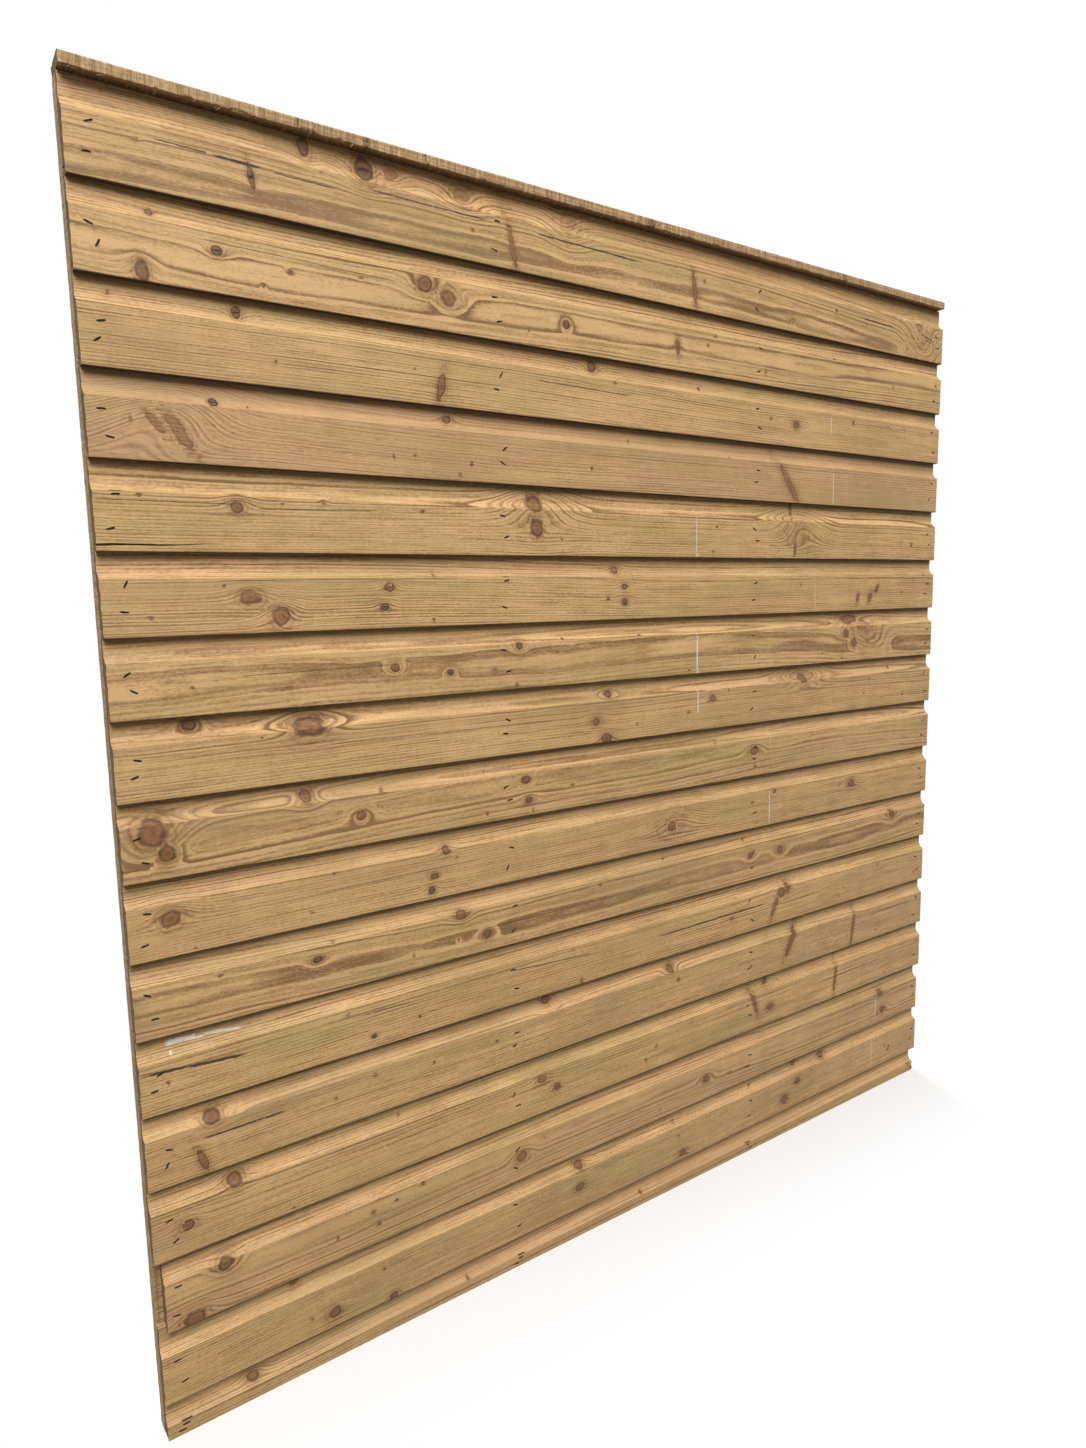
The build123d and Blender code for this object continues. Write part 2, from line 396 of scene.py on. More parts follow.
def milled_length():
    """Runs a section along a line, with the slight waver and the torn surface of real timber."""
    inputs = (
        ("Start", "NodeSocketVector"),
        ("End", "NodeSocketVector"),
        ("Step", "NodeSocketFloat"),
        ("Waver", "NodeSocketFloat"),
        ("Roughness", "NodeSocketFloat"),
        ("Seed", "NodeSocketFloat"),
        ("Material", "NodeSocketMaterial"),
    )
    tree, bench, inside, outside = geometry_tree("milled_length", inputs)
    given = {label: Socket(tree, inside.outputs[label]) for label, _ in inputs}
    section = bench.node("GeometryNodeMeshToCurve", None, {"Mesh": Socket(tree, inside.outputs["Geometry"])})
    run = bench.node("GeometryNodeCurvePrimitiveLine", None, {"Start": given["Start"], "End": given["End"]})
    run = bench.node("GeometryNodeSetCurveNormal", {"mode": "Z_UP"}, {"Curve": run})
    run = bench.node("GeometryNodeResampleCurve", {"mode": "LENGTH"}, {"Curve": run, "Length": given["Step"]})
    swept = bench.node(
        "GeometryNodeCurveToMesh", None, {"Curve": run, "Profile Curve": section, "Fill Caps": True}
    )
    place = bench.node("GeometryNodeInputPosition")
    seed = bench.node("ShaderNodeCombineXYZ", None, {1: given["Seed"]})

    def noise(x, y, z, detail):
        values = {0: place, 1: (x, y, z), 2: seed}
        sought = bench.node("ShaderNodeVectorMath", {"operation": "MULTIPLY_ADD"}, values)
        values = {"Vector": sought, "Scale": 1.0, "Detail": detail}
        return bench.node("ShaderNodeTexNoise", None, values) - 0.5

    waver_y = noise(1.7, 0.0, 0.0, 2.0) * given["Waver"]
    waver_z = noise(2.3, 0.0, 0.0, 4.0) * given["Waver"]
    torn_y = noise(120.0, 160.0, 160.0, 2.0) * given["Roughness"]
    torn_z = noise(160.0, 120.0, 120.0, 2.0) * given["Roughness"]
    offset = bench.node("ShaderNodeCombineXYZ", None, {1: waver_y + torn_y, 2: waver_z + torn_z})
    moved = bench.node("GeometryNodeSetPosition", None, {"Geometry": swept, "Offset": offset})
    whole = bench.node("GeometryNodeRealizeInstances", None, {"Geometry": moved})
    made = bench.node("GeometryNodeSetMaterial", None, {"Geometry": whole, "Material": given["Material"]})
    tree.links.new(made.out, outside.inputs["Geometry"])
    return tree


def grown(name, tree, start_mesh, values, modifiers=()):
    """The plain mesh object that a Geometry Nodes tree makes with these input values."""
    holder = bpy.data.objects.new(name, start_mesh)
    scene.collection.objects.link(holder)
    modifier = holder.modifiers.new("tree", "NODES")
    modifier.node_group = tree
    sockets = {i.name: i.identifier for i in tree.interface.items_tree if i.in_out == "INPUT"}
    for label, value in values.items():
        modifier[sockets[label]] = value
    for cutter in modifiers:
        cut = holder.modifiers.new("cut", "BOOLEAN")
        cut.operation = "DIFFERENCE"
        cut.solver = "EXACT"
        cut.object = cutter
    bpy.context.view_layer.update()
    evaluated = holder.evaluated_get(bpy.context.evaluated_depsgraph_get())
    mesh = bpy.data.meshes.new_from_object(evaluated)
    holder.modifiers.clear()
    holder.data = mesh
    mesh.name = name
    return holder


def section_mesh(outline):
    """A section as a closed run of edges, laid so that it comes out upright along X."""
    mesh = bpy.data.meshes.new("section")
    count = len(outline)
    points = [(-y, -z, 0.0) for y, z in outline]
    mesh.from_pydata(points, [(i, (i + 1) % count) for i in range(count)], [])
    return mesh


def board_base(number):
    """Height of a board's lower edge."""
    return 0.0 if number == BOARD_COUNT else BOTTOM_COVER + (BOARD_COUNT - 1 - number) * COVER


def sharpen(mesh, angle=32):
    """Smooth faces with sharp arrises."""
    mesh.polygons.foreach_set("use_smooth", [True] * len(mesh.polygons))
    mesh.set_sharp_from_angle(angle=radians(angle))
    mesh.update()


def rough_ends(mesh, left, right, depth, seed):
    """Frays the sawn ends inwards, and keeps the foot off the ground."""
    draw = np.random.default_rng(seed)
    place = np.zeros(len(mesh.vertices) * 3)
    mesh.vertices.foreach_get("co", place)
    place = place.reshape(-1, 3)
    fray = draw.random(len(place)) ** 2 * depth
    at_left = place[:, 0] < left + 1.2 * MM
    at_right = place[:, 0] > right - 1.2 * MM
    place[at_left, 0] = np.maximum(place[at_left, 0], left) + fray[at_left]
    place[at_right, 0] = np.minimum(place[at_right, 0], right) - fray[at_right]
    place[:, 2] = np.maximum(place[:, 2], 0.0)
    mesh.vertices.foreach_set("co", place.ravel())
    mesh.update()


# The staples went in by hand, so their places scatter; each leaves a short slit in the face. Heights above a
# board's lower edge, side steps and rises are in mm, turns in degrees.
BOARD_SHOTS, BOTTOM_SHOTS = (29.0, 61.0), (7.5, 15.5)
UPRIGHT_X = {"left_stile": -0.890, "left_batten": -0.300, "right_batten": 0.300, "right_stile": 0.890}
SIDE_STEPS = (0.0, 5.0, -4.0, 2.0, -6.0, 3.0, 7.0)
RISES = (0.0, 4.0, -5.0, 7.0, -2.0)
TURNS = (4.0, 22.0, -12.0, 0.0, -28.0, 35.0, 10.0, -6.0, 62.0, -18.0, 14.0)
shots = {number: [] for number in range(1, BOARD_COUNT + 1)}
shot = 0
for number in shots:
    scatter = 0.0 if number == BOARD_COUNT else 1.0
    heights = BOTTOM_SHOTS if number == BOARD_COUNT else BOARD_SHOTS
    for centre in UPRIGHT_X.values():
        for height in heights:
            x = centre + SIDE_STEPS[shot % len(SIDE_STEPS)] * MM
            z = board_base(number) + (height + scatter * RISES[shot % len(RISES)]) * MM
            shots[number].append((x, z, scatter * TURNS[shot % len(TURNS)]))
            shot += 1


def wall(faces, start, stations):
    """Closes a run of four-cornered stations into a solid."""
    for s in range(stations - 1):
        a, b = start + 4 * s, start + 4 * s + 4
        faces += [(a, a + 2, b + 2, b), (a + 1, b + 1, b + 3, a + 3)]
        faces += [(a, b, b + 1, a + 1), (a + 2, a + 3, b + 3, b + 2)]
    last = start + 4 * (stations - 1)
    faces += [(start, start + 1, start + 3, start + 2), (last, last + 2, last + 3, last + 1)]


def slit_cutters(number, splits):
    """The tools that cut a board's staple slits, and the splits that run in from its ends."""
    draw = np.random.default_rng(500 + number)
    front, slit_back, split_back = FACE_Y - 1.5 * MM, FACE_Y + 2.5 * MM, FACE_Y + 9 * MM
    half_slit = 5.7 * MM
    # Places along half a slit, and its half width there in mm
    stations = ((-1.0, 0.35), (-0.82, 1.1), (-0.3, 1.5), (0.3, 1.4), (0.85, 1.2), (1.0, 0.4))
    points, faces = [], []
    for x, z, turn in shots[number]:
        smile = draw.uniform(-0.35, 0.35) * MM
        start = len(points)
        slope = radians(turn)
        for t, half in stations:
            side, rise = t * half_slit, smile * (1 - t * t) - smile * 0.5
            for edge in (-1, 1):
                up = rise + edge * half * MM
                px = x + side * cos(slope) - up * sin(slope)
                pz = z + side * sin(slope) + up * cos(slope)
                points += [(px, front, pz), (px, slit_back, pz)]
        wall(faces, start, len(stations))
    steps = 9
    for end_x, inner_x, z, end_half, climb in splits:
        start = len(points)
        for t in np.linspace(0.0, 1.0, steps):
            px = end_x + (inner_x - end_x) * t
            half = end_half * (1 - t) ** 0.8 * (1 + 0.25 * sin(17 * t)) + 0.08 * MM
            pz = z + climb * t + 0.7 * MM * sin(9 * t)
            for edge in (-1, 1):
                points += [(px, front, pz + edge * half), (px, split_back, pz + edge * half)]
        wall(faces, start, steps)
    mesh = bpy.data.meshes.new("slits")
    mesh.from_pydata(points, [], faces)
    solid = bmesh.new()
    solid.from_mesh(mesh)
    bmesh.ops.recalc_face_normals(solid, faces=solid.faces)
    solid.to_mesh(mesh)
    solid.free()
    tool = bpy.data.objects.new("slits", mesh)
    scene.collection.objects.link(tool)
    return tool


# Knots by board: place along the panel from its left end, height on the board, half length and half height,
# all in mm, tilt in degrees, and age, where 1 is a black dead knot and below 0 it fades to a swirl
KNOTS = {
    1: [(228, 45, 3.8, 15, 12, .5), (307, 106, 7.5, 12, 8, .4), (398, 97, 13, 14.5, 0, .5),
        (645, 37, 4.6, 34, 12, .0), (765, 98, 16, 24, -25, -.7), (1044, 36, 5, 26, 8, .1),
        (1757, 44, 24, 27, -20, -.75), (440, 100, 10, 9, 0, -.3), (560, 96, 14, 12, 0, -.5)],
    2: [(176, 54, 7, 5.5, 0, .5), (80, 12, 7.5, 12, 12, .2), (486, 64, 13, 11, 0, 0),
        (526, 50, 13, 11, 0, .05), (750, 44, 6, 7, 0, .3), (1003, 41, 5, 12, 5, .2),
        (95, 88, 4.5, 3.5, 0, .4)],
    3: [(200, 94, 6, 7, 0, .5), (508, 28, 6.2, 20, -14, .2), (811, 98, 8.5, 9.5, 0, .3),
        (1330, 44, 8.5, 7, 0, .2)],
    4: [(112, 40, 8, 26, 34, -.12), (84, 48, 5, 19, 38, -.18), (521, 94, 7, 6, 0, .3),
        (1312, 38, 8, 43, 38, -.08), (160, 84, 6, 5, 0, .6), (98, 42, 34, 28, 20, -1)],
    5: [(183, 57, 8.5, 7, 0, .15), (682, 84, 13, 14.5, 0, .1), (683, 44, 11.2, 14, 10, .2),
        (1333, 18, 4, 13, -4, .3), (690, 64, 26, 24, 0, -1),
        (1350, 50, 28, 24, -10, -.8), (1328, 100, 4, 13, 6, .2)],
    6: [(194, 45, 13, 9.5, 0, 0), (236, 18, 11.5, 12, 25, .1), (407, 58, 7, 6, 0, .3),
        (398, 29, 7, 5, 0, .5), (857, 86, 7, 6, 0, .2), (874, 56, 6, 5, 0, .4), (874, 29, 6, 6, 0, .4),
        (1545, 26, 4, 9, -10, .2), (1588, 27, 6, 11, -25, .1), (1612, 46, 4, 9, -35, .3)],
    7: [(642, 71, 6, 6, 0, .4), (411, 47, 7, 6, 0, .2), (509, 34, 6, 5, 0, .5), (1508, 62, 10, 8, 0, .1),
        (1536, 40, 9, 8, 0, .1), (1580, 64, 30, 20, -20, -.6), (1525, 92, 26, 9, 0, .1)],
    8: [(102, 97, 8.5, 8.5, 0, .4), (271, 79, 20.5, 14.5, 0, .1), (805, 39, 8.5, 7, 0, .1),
        (828, 6, 10, 8.5, 0, .2), (840, 86, 7, 6, 0, .4), (1097, 59, 7, 6, 0, .3),
        (1371, 82, 11.5, 9.5, 0, .2), (1371, 82, 26, 20, 0, -.8)],
    9: [(42, 66, 17.5, 18, 25, .15), (59, 35, 10, 11, 20, .3), (261, 87, 8.5, 8.5, 0, .2),
        (345, 46, 8.5, 7, 0, .1), (650, 64, 7, 6, 0, .3), (656, 28, 7, 5, 0, .4),
        (1219, 53, 11.5, 8.5, 0, .1)],
    10: [(57, 55, 13, 11, 0, .1), (491, 77, 7, 6, 0, .3), (468, 38, 7, 5, 0, .3), (462, 16, 6, 6, 0, .5),
         (989, 40, 10, 8.5, 0, .1), (1540, 56, 10, 8.5, 0, .1), (1000, 44, 30, 20, 0, -.8)],
    11: [(515, 74, 8.5, 7, 0, .1), (263, 57, 7, 5, 0, .4), (565, 30, 7, 6, 0, .4), (1211, 55, 7, 6, 0, .2),
         (1303, 51, 8.5, 7, 0, .1), (1697, 72, 10, 8.5, 0, .2)],
    12: [(1311, 67, 11.5, 9.5, 0, .1), (350, 20, 4.5, 3.5, 0, .5), (1290, 40, 5, 26, -25, .1),
         (1330, 72, 8, 10, 0, .1)],
    13: [(94, 82, 10, 9.5, 0, .3), (77, 23, 5, 18, 20, .2), (691, 99, 8.5, 8.5, 0, .2),
         (990, 84, 8.5, 7, 0, .2), (1345, 60, 7, 30, -30, .2), (1560, 40, 4, 32, -8, .1)],
    14: [(120, 85, 10, 8.5, 0, .2), (50, 44, 8.5, 7, 0, .4), (673, 66, 10, 7, 0, .1), (705, 41, 7, 6, 0, .3),
         (1272, 96, 7, 7, 0, .3), (1279, 38, 10, 7, 0, .1), (1230, 60, 5, 24, 20, .1),
         (1500, 44, 4, 30, -6, .1)],
    15: [(99, 73, 10, 8.5, 0, .4), (51, 7, 14.5, 11, 0, .2), (626, 44, 10, 8.5, 0, .1),
         (1087, 44, 8.5, 7, 0, .1), (1675, 76, 8.5, 7, 0, .2), (1684, 31, 8.5, 7, 0, .3)],
    16: [(202, 103, 7, 7, 0, .2), (261, 24, 10, 8.5, 0, .2), (365, 5, 7, 6, 0, .4), (757, 85, 8.5, 7, 0, .2),
         (755, 45, 10, 7, 0, .1), (1022, 14, 8.5, 7, 0, .1), (1370, 99, 8.5, 7, 0, .2),
         (1375, 58, 8.5, 7, 0, .2), (1332, 26, 11.5, 8.5, 0, .1), (1465, 90, 8.5, 7, 0, .2)],
    17: [(129, 32, 8.5, 7, 0, .3)],
}
# Streaks by board: place, height, half length and half height in mm, tilt in degrees, and tone from -1 for
# black resin or a crack to 1 for a pale scuff
STREAKS = {
    1: [(150, 62, 50, 1.2, -1, -.8), (210, 60, 34, 2.0, -1, -1), (290, 57, 60, 1.0, -1, -.8),
        (500, 66, 108, 1.3, -.5, -.85), (804, 62, 118, 1.6, -1, -.95), (1590, 57, 60, 1.8, -1.5, -1),
        (1772, 50, 26, 1.5, -14, -1), (1776, 43, 22, 1.3, -14, -1)],
    2: [(300, 62, 150, .8, -1.2, -.5), (1250, 30, 200, .8, .5, -.4)],
    3: [(1440, 54, 1.6, 24, 0, .55), (790, 57, 110, 1.2, -1.2, -.75), (480, 42, 160, .9, 0, -.4)],
    4: [(1452, 37, 1.6, 50, 0, .6), (1000, 60, 220, .8, 0, -.4)],
    5: [(95, 61, 95, .7, 0, -.75), (300, 58, 100, 1.0, 1.5, -.6), (1052, 38, 1.6, 48, 0, .6),
        (1054, 3, 5, 3, 0, .5)],
    6: [(330, 70, 200, .8, .4, -.35), (1400, 40, 1.6, 40, 2, .3)],
    7: [(1055, 36, 2.0, 48, 0, .95), (1056, 3, 5, 3, 0, .5), (300, 50, 140, .9, .8, -.5)],
    8: [(1058, 59, 2.0, 28, 0, .75), (500, 50, 220, .8, 0, -.5)],
    9: [(1268, 78, 1.6, 28, 0, .35), (900, 20, 240, .8, .3, -.45)],
    10: [(1267, 38, 1.8, 38, 0, .7), (420, 50, 150, .9, .6, -.5)],
    11: [(760, 40, 230, .9, .2, -.5)],
    12: [(66, 97, 30, 4.5, -3, 1), (118, 94, 30, 3.0, -6, .8), (45, 84, 2, 4, 0, .8),
         (75, 58, 78, 2.8, -4.5, -.95), (375, 60, 45, 1.2, 0, -.8), (700, 58, 95, 1.2, -3.0, -.8),
         (1110, 50, 165, 2.0, .8, -.9)],
    13: [(140, 56, 66, 1.8, .5, -.95), (800, 60, 180, .8, 0, -.4), (1700, 62, 90, 1.0, .5, -.8)],
    14: [(900, 60, 220, .9, .2, -.4), (1560, 52, 120, 1.2, 1.0, -.8)],
    15: [(1658, 43, 1.8, 27, 0, .6), (420, 40, 200, .8, 0, -.4)],
    16: [(1647, 43, 1.8, 38, 0, .5), (600, 60, 300, .7, 0, -.35)],
    17: [(900, 8, 600, 1.6, 0, -.5)],
}
# How pink each board is; then where the log's middle lies behind its face and above its lower edge, and how
# much the log meanders, in m; then the splits in its ends: open and inner end along X, height on the board,
# half width at the open end and climb inwards, in m
TONES = {1: .35, 2: .1, 3: .3, 4: .95, 5: .0, 6: .35, 7: .15, 8: .3, 9: .35, 10: .25, 11: .35, 12: .1, 13: .4,
         14: .2, 15: .5, 16: .25, 17: .7}
PITHS = {1: (.060, .020, .010), 2: (-.045, .050, .012), 3: (.050, -.120, .004), 4: (.070, .160, .006),
         5: (-.040, .130, .004), 6: (.055, .140, .006), 7: (.085, .040, .012), 8: (-.050, .120, .005),
         9: (.065, .060, .014), 10: (.045, .150, .004), 11: (-.060, .045, .010), 12: (.055, .135, .005),
         13: (.075, -.110, .006), 14: (.045, .130, .003), 15: (-.055, .055, .010), 16: (.040, .170, .003),
         17: (.060, .090, .006)}
SPLITS = {5: [(PANEL_LEFT - 2 * MM, PANEL_LEFT + 165 * MM, 0.0082, 1.5 * MM, 3.5 * MM)]}

length_tree = milled_length()
for number in range(1, BOARD_COUNT + 1):
    short_left, short_right = CUT_SHORT.get(number, (0.0, 0.0))
    slip = LEFT_SLIP.get(number, 0.0) * MM
    left, right = PANEL_LEFT + short_left * MM, PANEL_RIGHT - short_right * MM
    lean = slip * WIDTH / (PANEL_RIGHT - PANEL_LEFT)
    base = board_base(number)
    ripped = number == BOARD_COUNT
    splits = [(a, b, base - slip + z, half, climb) for a, b, z, half, climb in SPLITS.get(number, [])]
    cutter = slit_cutters(number, splits)
    values = {
        "Start": (left + lean, FACE_Y, base - slip),
        "End": (right, FACE_Y, base),
        "Step": 5 * MM,
        "Waver": 0.0 if ripped else 1.1 * MM,
        "Roughness": 0.35 * MM,
        "Seed": 10.0 * number,
        "Material": board_wood,
    }
    section = section_mesh(board_section(ripped))
    board = grown(f"board_{number:02d}", length_tree, section, values, [cutter])
    bpy.data.objects.remove(cutter)
    rough_ends(board.data, left, right, 0.9 * MM, number)
    draw = np.random.default_rng(900 + number)
    # Pin knots, each drawn as height, half length, half height, tilt and age
    ranges = ((6, 96), (1.3, 3.0), (1.2, 3.4), (-30, 30), (-.4, .4))
    pins = [(x, *[draw.uniform(least, most) for least, most in ranges]) for x in draw.uniform(20, 1810, 9)]
    knots = [(PANEL_LEFT + x * MM, base + z * MM, a * MM, b * MM, tilt, age)
             for x, z, a, b, tilt, age in KNOTS[number] + pins]
    streaks = [(PANEL_LEFT + x * MM, base + z * MM, a * MM, b * MM, tilt, t)
               for x, z, a, b, tilt, t in STREAKS.get(number, [])]
    pith_y, pith_z, meander = PITHS[number]
    pith = (FACE_Y + pith_y, base + pith_z, meander)
    # Above this height the next board's lip overhangs, and shade is painted on the tongue there
    lap = base + 96 * MM if number > 1 else np.inf
    mark_grain(board.data, knots, streaks, pith, TONES[number], 40 + number, lap, shots[number])
    sharpen(board.data)
    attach(board, "root")
    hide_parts(f"weatherboard_{number:02d}")

# The uprights
# Two stiles at the ends and two battens between, of rough-sawn softwood 50 by 25 mm, behind the boards. Only
# the outer side of the left stile shows from the front.
EARLY_SAWN, LATE_SAWN = (0.580, 0.385, 0.185, 1), (0.300, 0.165, 0.070, 1)
sawn_wood = timber("sawn_softwood", EARLY_SAWN, LATE_SAWN, 5.2 * MM, saw_marks=1.3, fibre=1.3)


def sawn_upright(name, low, high, seed):
    """A sawn length standing on its end, in rows close enough for its edges to wander a little."""
    draw = np.random.default_rng(seed)
    row_height, wander = 8 * MM, 0.45 * MM
    rows = ceil((high.z - low.z) / row_height)
    ring = []
    corners = ((low.x, low.y), (high.x, low.y), (high.x, high.y), (low.x, high.y))
    for (x0, y0), (x1, y1), cuts in zip(corners, corners[1:] + corners[:1], (8, 4, 8, 4)):
        ring += [(x0 + (x1 - x0) * t / cuts, y0 + (y1 - y0) * t / cuts) for t in range(cuts)]
    middle = (low + high) / 2
    points = []
    for row in range(rows + 1):
        z = low.z + (high.z - low.z) * row / rows
        for x, y in ring:
            inwards = Vector((middle.x - x, middle.y - y, 0)).normalized() * draw.random() * wander
            points.append((x + inwards.x, y + inwards.y, z))
    size = len(ring)
    faces = [tuple(reversed(range(size))), tuple(range(rows * size, (rows + 1) * size))]
    for row in range(rows):
        for i in range(size):
            j = (i + 1) % size
            below, above = row * size, (row + 1) * size
            faces.append((below + i, below + j, above + j, above + i))
    mesh = bpy.data.meshes.new(name)
    mesh.from_pydata(points, [], faces)
    return mesh


def corner_vectors(mesh, name):
    """The vectors that an attribute holds for each face corner."""
    layer = mesh.attributes[name]
    values = np.zeros(len(layer.data) * 3, np.float32)
    layer.data.foreach_get("vector", values)
    return values.reshape(-1, 3)


for index, (name, x) in enumerate(UPRIGHT_X.items()):
    low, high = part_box(name)
    mesh = sawn_upright(name, low, high, 70 + index)
    piece = bpy.data.objects.new(f"{name}_timber", mesh)
    scene.collection.objects.link(piece)
    mesh.materials.append(sawn_wood)
    knots = [(x + dx, z, 0.006, 0.006, 0, 0.3) for dx, z in ((0.006, 0.31), (-0.01, 0.97), (0.004, 1.52))]
    mark_grain(mesh, knots, [], (0.05, 0.0, 0.0), 0.2, 90 + index)
    # The log stands upright here, so its length runs along Z, and the sides are not end grain
    log = corner_vectors(mesh, "log")
    log = np.column_stack((log[:, 2], log[:, 1], log[:, 0] - log[:, 0].mean() + 0.045))
    mesh.attributes["log"].data.foreach_set("vector", log.astype(np.float32).ravel())
    tone = corner_vectors(mesh, "tone")
    tone[:, 1] = 0.0
    mesh.attributes["tone"].data.foreach_set("vector", tone.ravel())
    sharpen(mesh)
    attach(piece, "root")
    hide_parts(name)

# The capping rail
# A rough-sawn lath laid flat over the uprights and the top board, 6 mm proud of the face. Its front lower
# edge is waney and splintered; it is stapled down into the uprights.
cap_low, cap_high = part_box("capping_rail")
depth, tall = cap_high.y - cap_low.y, cap_high.z - cap_low.z
cap_rows = [(0.0, z) for z in np.linspace(tall - 1.2 * MM, 0.6 * MM, 8)]
cap_rows += [(y, 0.0) for y in (0.6 * MM, 3 * MM, 7 * MM, 12 * MM, 24 * MM, 38 * MM, depth)]
cap_rows += [(depth, z) for z in (tall * 0.33, tall * 0.66, tall)]
cap_rows += [(y, tall) for y in np.linspace(depth, 1.5 * MM, 8)[1:]]
values = {
    "Start": (cap_low.x, cap_low.y, cap_low.z),
    "End": (cap_high.x, cap_low.y, cap_low.z),
    "Step": 2 * MM,
    "Waver": 0.0,
    "Roughness": 0.0,
    "Seed": 3.0,
    "Material": sawn_wood,
}
cap = grown("capping_lath", length_tree, section_mesh(cap_rows), values)


def waney_edge(mesh, low, seed):
    """Raises and frays the front lower edge, more in some places than others, and roughens the sawn front."""
    draw = np.random.default_rng(seed)
    place = np.zeros(len(mesh.vertices) * 3)
    mesh.vertices.foreach_get("co", place)
    place = place.reshape(-1, 3)
    x = place[:, 0]
    waves = ((0.15, 9), (0.2, 23), (0.25, 61), (0.25, 140))
    wave = sum(high * np.sin(x * often + draw.uniform(0, 6.3)) for high, often in waves)
    fray = np.interp(x, np.sort(draw.uniform(-0.93, 0.93, 420)), draw.random(420) ** 7 * 5.0)
    lift = np.clip(wave + fray - 0.1, 0.0, 4.2) * MM
    up = (place[:, 2] - low.z) / tall
    back = np.clip((place[:, 1] - low.y) / (3.0 * MM), 0.0, 1.0)
    place[:, 2] += lift * np.clip(1 - up * 1.1, 0, 1) ** 1.5 * (1 - back)
    front = place[:, 1] < low.y + 1.6 * MM
    place[front, 1] += draw.random(front.sum()) * 0.5 * MM + np.clip(lift[front] - 2.4 * MM, 0, 1) * 0.25
    mesh.vertices.foreach_set("co", place.ravel())
    mesh.update()


waney_edge(cap.data, cap_low, 8)
rough_ends(cap.data, cap_low.x, cap_high.x, 0.8 * MM, 77)
knot_places = ((-0.52, 0.004, 0.5), (0.02, 0.008, 0.2), (0.55, 0.005, 0.3))
crack_places = ((-0.62, 4), (-0.425, 0), (-0.23, -8), (0.02, 0), (0.31, 6), (0.6, 0))
cap_knots = [(x, 1.864, half, 0.009, 0, age) for x, half, age in knot_places]
cap_streaks = [(x, 1.866, 0.0014, 0.009, tilt, -0.9) for x, tilt in crack_places]
# The cap's underside is painted darker as shade, from its front edge inwards
mark_grain(cap.data, cap_knots, cap_streaks, (0.03, 1.80, 0.004), 0.75, 140, rim=cap_low.y)
sharpen(cap.data, 50)
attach(cap, "root")
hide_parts("capping_rail")

# The staples
# Staples of dull zinc wire, shot through the face and the cap and sunk just below the surface, so that only a
# dark slit shows. The solids themselves are seen, in a material of their own, whose colour is painted near
# black as the shade inside the slits.
wire = bpy.data.materials.new("zinc_wire")
wire.use_nodes = True
wire.node_tree.nodes.clear()
bench = Socket(wire.node_tree)
point = bench.node("ShaderNodeTexCoord", None, None, output="Object")
dull = (point.noise((900.0, 900.0, 900.0), 3.0) + 0.5).step(0.35, 0.7)
# The wire's colour is painted near black, as shade inside the slits
zinc_painted_dark = bench.blend((0.045, 0.038, 0.032, 1), (0.020, 0.014, 0.010, 1), dull)
finish = {"Base Color": zinc_painted_dark, "Metallic": 0.35, "Roughness": 0.6 + dull * 0.3}
steel = bench.node("ShaderNodeBsdfPrincipled", None, finish)
bench.node("ShaderNodeOutputMaterial", None, {"Surface": steel})
for name in list(UPRIGHT_X) + ["capping_rail"]:
    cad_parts[f"{name}_staples"].material_slots[0].material = wire

# The torn fibres and splinters
# Where a staple tore the face a few fibres stand up at the lower lip of its slit, and splinters hang from
# the sawn edge of the cap. They are slivers of the same timber, thrown at points along both.


def torn_slivers():
    """Sets a ragged sliver at each point, turned by the point's own angle."""
    inputs = (
        ("Size", "NodeSocketVector"),
        ("Raggedness", "NodeSocketFloat"),
        ("Seed", "NodeSocketInt"),
        ("Material", "NodeSocketMaterial"),
    )
    tree, bench, inside, outside = geometry_tree("torn_slivers", inputs)
    given = {label: Socket(tree, inside.outputs[label]) for label, _ in inputs}
    sliver = bench.node("GeometryNodeMeshIcoSphere", None, {"Radius": 0.5, "Subdivisions": 2})
    turn = bench.node("GeometryNodeInputNamedAttribute", {"data_type": "FLOAT"}, {"Name": "turn"})
    spin = bench.node("ShaderNodeCombineXYZ", None, {1: turn})
    # A Random Value node has its numbers at 2 and 3, and 1
    values = {2: 0.45, 3: 1.0, "Seed": given["Seed"]}
    share = bench.node("FunctionNodeRandomValue", {"data_type": "FLOAT"}, values, output=1)
    size = bench.node("ShaderNodeVectorMath", {"operation": "SCALE"}, {0: given["Size"], "Scale": share})
    points = Socket(tree, inside.outputs["Geometry"])
    values = {"Points": points, "Instance": sliver, "Rotation": spin, "Scale": size}
    thrown = bench.node("GeometryNodeInstanceOnPoints", None, values)
    whole = bench.node("GeometryNodeRealizeInstances", None, {"Geometry": thrown})
    place = bench.node("GeometryNodeInputPosition")
    values = {"Vector": place, "Scale": 700.0, "Detail": 2.0}
    torn = bench.node("ShaderNodeTexNoise", None, values, output="Color")
    torn = bench.node("ShaderNodeVectorMath", {"operation": "SUBTRACT"}, {0: torn, 1: (0.5, 0.5, 0.5)})
    torn = bench.node("ShaderNodeVectorMath", {"operation": "SCALE"}, {0: torn, "Scale": given["Raggedness"]})
    moved = bench.node("GeometryNodeSetPosition", None, {"Geometry": whole, "Offset": torn})
    made = bench.node("GeometryNodeSetMaterial", None, {"Geometry": moved, "Material": given["Material"]})
    tree.links.new(made.out, outside.inputs["Geometry"])
    return tree


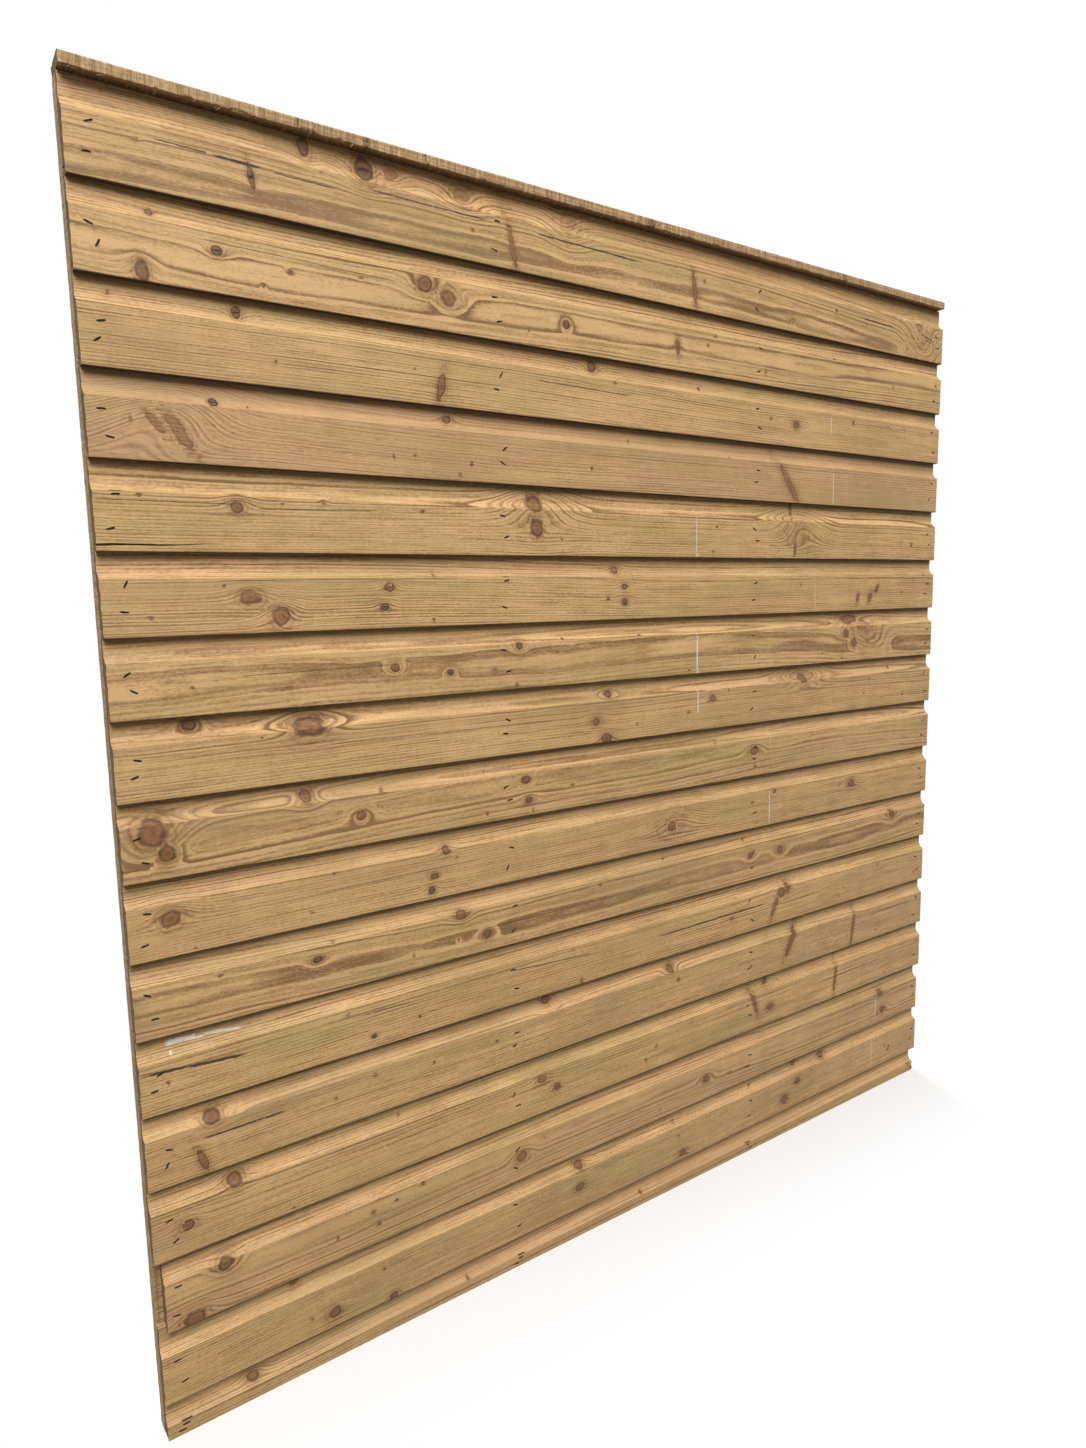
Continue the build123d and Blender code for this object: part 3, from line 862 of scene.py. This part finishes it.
def slivers(name, tree, marks, size, raggedness, material):
    """One piece of slivers at marks of x, y, z and turn in degrees."""
    mesh = bpy.data.meshes.new(name)
    mesh.from_pydata([m[:3] for m in marks], [], [])
    turns = mesh.attributes.new("turn", "FLOAT", "POINT")
    turns.data.foreach_set("value", [-radians(m[3]) for m in marks])
    values = {"Size": size, "Raggedness": raggedness, "Seed": 5, "Material": material}
    piece = grown(name, tree, mesh, values)
    mark_grain(piece.data, [], [], (0.05, 0.3, 0.01), 0.1, 300)
    sharpen(piece.data, 60)
    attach(piece, "root")


sliver_tree = torn_slivers()
draw = np.random.default_rng(31)
lips = []
for number, places in shots.items():
    for x, z, turn in places:
        if draw.random() < 0.6 and number < BOARD_COUNT:
            slope = radians(turn)
            aside, below = draw.uniform(-2.0, 2.5) * MM, draw.uniform(1.5, 2.2) * MM
            lips.append((x + aside * cos(slope) + below * sin(slope), FACE_Y,
                         z + aside * sin(slope) - below * cos(slope), turn + draw.uniform(-12, 12)))
fibre_size = (7 * MM, 1.0 * MM, 1.5 * MM)
slivers("torn_fibres", sliver_tree, lips, fibre_size, 0.9 * MM, board_wood)
splinters = []
for x in draw.uniform(-0.90, 0.90, 46):
    y, z = cap_low.y + draw.uniform(0.6, 2.2) * MM, cap_low.z + draw.uniform(-0.8, 1.8) * MM
    splinters.append((x, y, z, draw.choice((-1, 1)) * draw.uniform(2, 40)))
splinter_size = (17 * MM, 0.9 * MM, 1.1 * MM)
slivers("cap_splinters", sliver_tree, splinters, splinter_size, 0.8 * MM, sawn_wood)

# The floor and the light
# A plain pale floor that goes over to white away from the panel, and two soft studio lights. The one high in
# front makes each lap throw a soft shadow on the tongue below it; the other one lights the back.


def background_rays(bench):
    """1 where the background is looked at: straight from the camera, mirrored or through glass."""
    names = ("Is Camera Ray", "Is Glossy Ray", "Is Transmission Ray")
    rays = [bench.node("ShaderNodeLightPath", None, None, output=name) for name in names]
    return (rays[0] + rays[1] + rays[2]).clamped()


floor_mesh = bpy.data.meshes.new("floor")
floor_mesh.from_pydata([(-30, -30, 0), (30, -30, 0), (30, 30, 0), (-30, 30, 0)], [], [(0, 1, 2, 3)])
floor = bpy.data.objects.new("floor", floor_mesh)
scene.collection.objects.link(floor)
pale = bpy.data.materials.new("pale_floor")
pale.use_nodes = True
pale.node_tree.nodes.clear()
bench = Socket(pale.node_tree)
looked_at = background_rays(bench)
aside, before, _ = bench.node("ShaderNodeTexCoord", None, None, output="Object").parts()
beside = aside.maths("ABSOLUTE").step(0.93, 1.10)
far = before.maths("ABSOLUTE").step(0.02, 0.30).maths("MAXIMUM", beside)
colour = bench.blend((0.10, 0.095, 0.085, 1), (0.86, 0.86, 0.86, 1), looked_at)
matt = bench.node("ShaderNodeBsdfDiffuse", None, {"Color": colour})
white = bench.node("ShaderNodeEmission", None, {"Strength": 1.0})
mixed = bench.node("ShaderNodeMixShader", None, {0: far * looked_at, 1: matt, 2: white})
bench.node("ShaderNodeOutputMaterial", None, {"Surface": mixed})
floor_mesh.materials.append(pale)

world = bpy.data.worlds.new("studio")
scene.world = world
world.use_nodes = True
world.node_tree.nodes.clear()
bench = Socket(world.node_tree)
looked_at = background_rays(bench)
height = bench.node("ShaderNodeTexCoord", None, None, output="Generated").parts()[2]
overcast = bench.blend((0.025, 0.022, 0.018, 1), (0.46, 0.46, 0.46, 1), height.step(-0.02, 0.80))
plain = bench.node("ShaderNodeBackground", None, {"Color": overcast, "Strength": 1.0})
bright = bench.node("ShaderNodeBackground", None, {"Color": (1, 1, 1, 1), "Strength": 1.0})
sky = bench.node("ShaderNodeMixShader", None, {0: looked_at, 1: plain, 2: bright})
bench.node("ShaderNodeOutputWorld", None, {"Surface": sky})


def softbox(name, place, aim, size, power):
    """A square area light at a place, turned towards a point."""
    light = bpy.data.lights.new(name, "AREA")
    light.shape = "SQUARE"
    light.size = size
    light.energy = power
    lamp = bpy.data.objects.new(name, light)
    lamp.location = place
    lamp.rotation_euler = (Vector(aim) - Vector(place)).to_track_quat("-Z", "Y").to_euler()
    scene.collection.objects.link(lamp)


softbox("key", (-2.8, -5.0, 7.1), (0.0, 0.0, 0.95), 4.4, 850.0)
softbox("back", (0.8, 4.6, 5.6), (0.0, 0.0, 0.9), 4.0, 420.0)
scene.view_settings.view_transform = "Standard"
